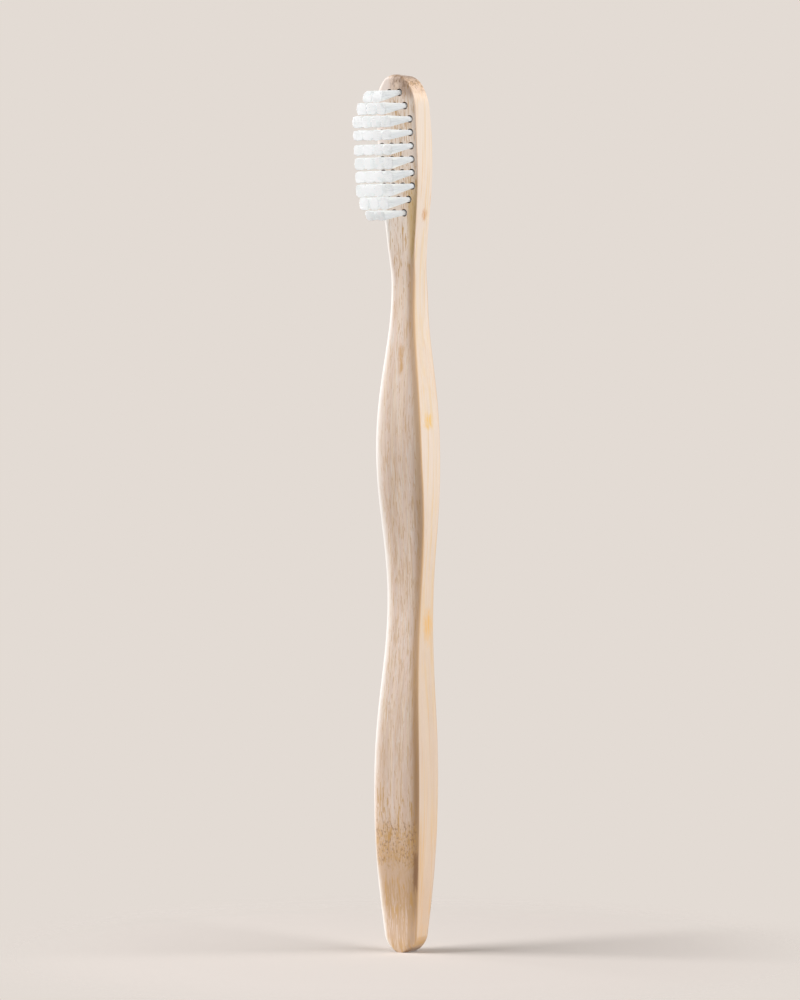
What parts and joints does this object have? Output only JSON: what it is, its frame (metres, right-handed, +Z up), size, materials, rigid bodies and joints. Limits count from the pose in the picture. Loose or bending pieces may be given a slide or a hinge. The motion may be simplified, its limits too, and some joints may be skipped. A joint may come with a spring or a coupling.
{
  "type": "manual toothbrush",
  "caption": "Manual toothbrush with a wavy carved bamboo handle, a rounded leaning head and rows of straight white nylon bristle tufts held by metal anchors.",
  "frame": {"origin": "centre of the small flat at the foot of the handle, with the brush posed upright", "axes": "+Z up the handle to the tip of the head, -Y the way the bristles point, X across the head"},
  "size_m": [0.012, 0.0188, 0.19],
  "materials": {
    "bamboo": "fine sanded bare bamboo",
    "bristle": "white nylon filament",
    "anchor": "rolled strip, cut"
  },
  "bodies": {
    "root": {"handle": "bamboo", "tuft_row1_1": "bristle", "tuft_row1_2": "bristle", "tuft_row2_1": "bristle", "tuft_row2_2": "bristle", "tuft_row2_3": "bristle", "tuft_row3_1": "bristle", "tuft_row3_2": "bristle", "tuft_row3_3": "bristle", "tuft_row3_4": "bristle", "tuft_row4_1": "bristle", "tuft_row4_2": "bristle", "tuft_row4_3": "bristle", "tuft_row4_4": "bristle", "tuft_row5_1": "bristle", "tuft_row5_2": "bristle", "tuft_row5_3": "bristle", "tuft_row5_4": "bristle", "tuft_row6_1": "bristle", "tuft_row6_2": "bristle", "tuft_row6_3": "bristle", "tuft_row6_4": "bristle", "tuft_row7_1": "bristle", "tuft_row7_2": "bristle", "tuft_row7_3": "bristle", "tuft_row7_4": "bristle", "tuft_row8_1": "bristle", "tuft_row8_2": "bristle", "tuft_row8_3": "bristle", "tuft_row8_4": "bristle", "tuft_row9_1": "bristle", "tuft_row9_2": "bristle", "tuft_row9_3": "bristle", "tuft_row10_1": "bristle", "tuft_row10_2": "bristle", "anchors_row1": "anchor", "anchors_row2": "anchor", "anchors_row3": "anchor", "anchors_row4": "anchor", "anchors_row5": "anchor", "anchors_row6": "anchor", "anchors_row7": "anchor", "anchors_row8": "anchor", "anchors_row9": "anchor", "anchors_row10": "anchor"}
  },
  "joints": []
}
